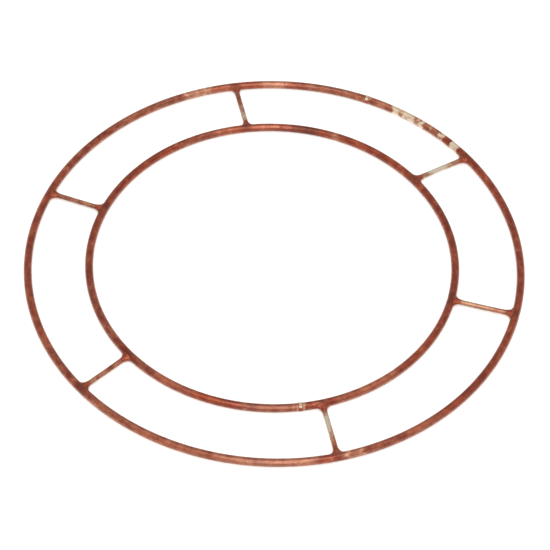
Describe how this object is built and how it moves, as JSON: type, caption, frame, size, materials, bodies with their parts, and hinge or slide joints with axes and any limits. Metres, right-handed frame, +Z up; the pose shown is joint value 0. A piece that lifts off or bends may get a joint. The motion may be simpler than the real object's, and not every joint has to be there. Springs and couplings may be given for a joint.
{
  "type": "wreath frame",
  "caption": "Flat round wreath frame of copper-coated wire: an outer and an inner ring in one plane, joined by short welded cross ties.",
  "frame": {"origin": "centre of the outer ring, on the surface that the frame lies flat on", "axes": "+Z up through the thickness of the frame, +X out along the first cross tie"},
  "size_m": [0.203, 0.203, 0.0033],
  "materials": {
    "ring_wire": "satin",
    "tie_wire": "satin",
    "weld_metal": "matte"
  },
  "bodies": {
    "root": {"outer_ring": "ring_wire", "outer_ring_butt_weld": "weld_metal", "inner_ring": "ring_wire", "inner_ring_butt_weld": "weld_metal", "cross_tie_1": "tie_wire", "cross_tie_2": "tie_wire", "cross_tie_3": "tie_wire", "cross_tie_4": "tie_wire", "cross_tie_5": "tie_wire", "cross_tie_6": "tie_wire", "tie_1_outer_weld": "weld_metal", "tie_1_inner_weld": "weld_metal", "tie_2_outer_weld": "weld_metal", "tie_2_inner_weld": "weld_metal", "tie_3_outer_weld": "weld_metal", "tie_3_inner_weld": "weld_metal", "tie_4_outer_weld": "weld_metal", "tie_4_inner_weld": "weld_metal", "tie_5_outer_weld": "weld_metal", "tie_5_inner_weld": "weld_metal", "tie_6_outer_weld": "weld_metal", "tie_6_inner_weld": "weld_metal"}
  },
  "joints": []
}
